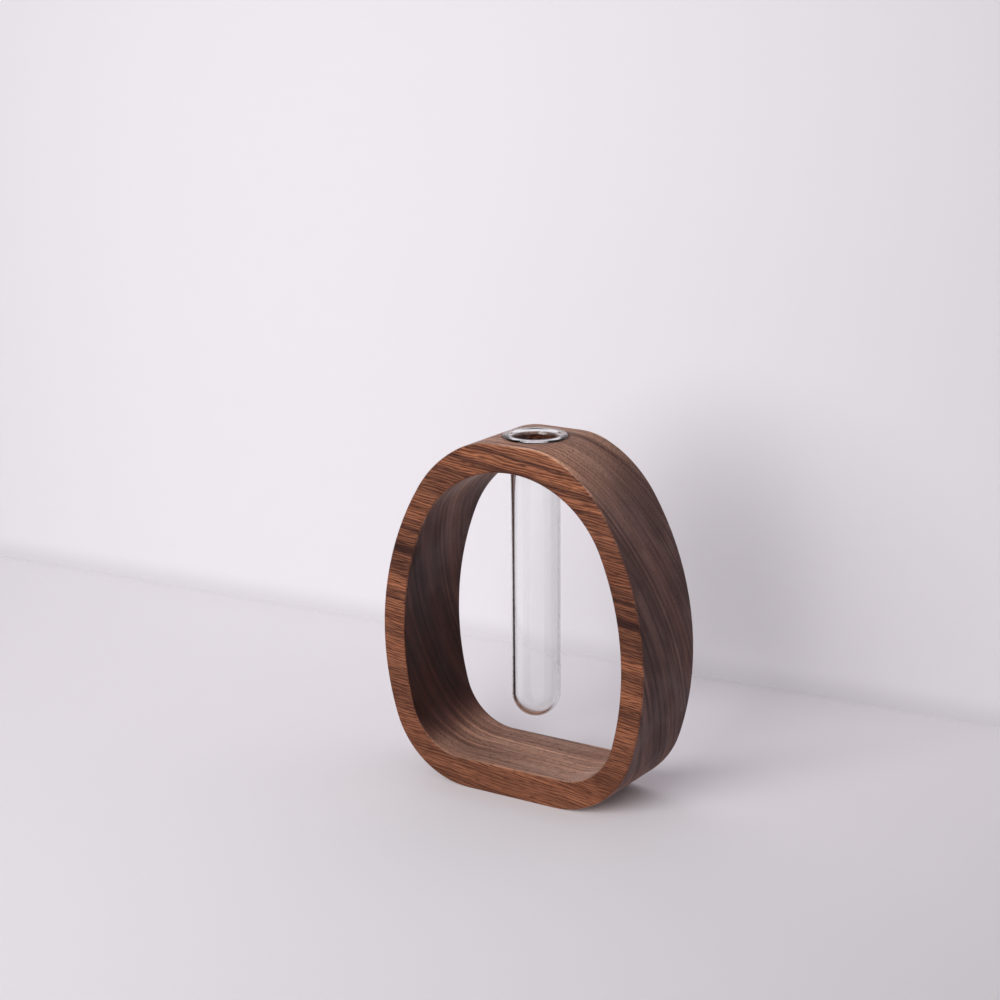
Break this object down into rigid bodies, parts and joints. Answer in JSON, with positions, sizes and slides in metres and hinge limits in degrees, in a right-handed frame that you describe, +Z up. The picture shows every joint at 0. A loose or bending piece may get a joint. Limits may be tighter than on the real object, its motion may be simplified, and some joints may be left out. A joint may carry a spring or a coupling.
{
  "type": "bud vase",
  "caption": "Egg-shaped wooden ring on a flat foot with a clear glass tube hung by its rolled lip through a bore in the crown; the tube lifts out to be filled.",
  "frame": {"origin": "middle of the flat foot, on the surface that the ring stands on", "axes": "+Z up along the bore and the tube, +X across the ring along the wood's fibres, +Y through the ring's depth towards its back face"},
  "size_m": [0.126, 0.042, 0.1511],
  "materials": {
    "walnut": "sanded walnut with a thin satin oil finish",
    "clear_glass": "clear, smooth, fire-polished lip"
  },
  "bodies": {
    "ring": {"wooden_ring": "walnut"},
    "tube": {"glass_tube": "clear_glass"}
  },
  "joints": [
    {"name": "tube_lift", "type": "slide", "parent": "ring", "child": "tube", "axis": [0, 0, 1], "range_m": [0, 0.13]}
  ]
}
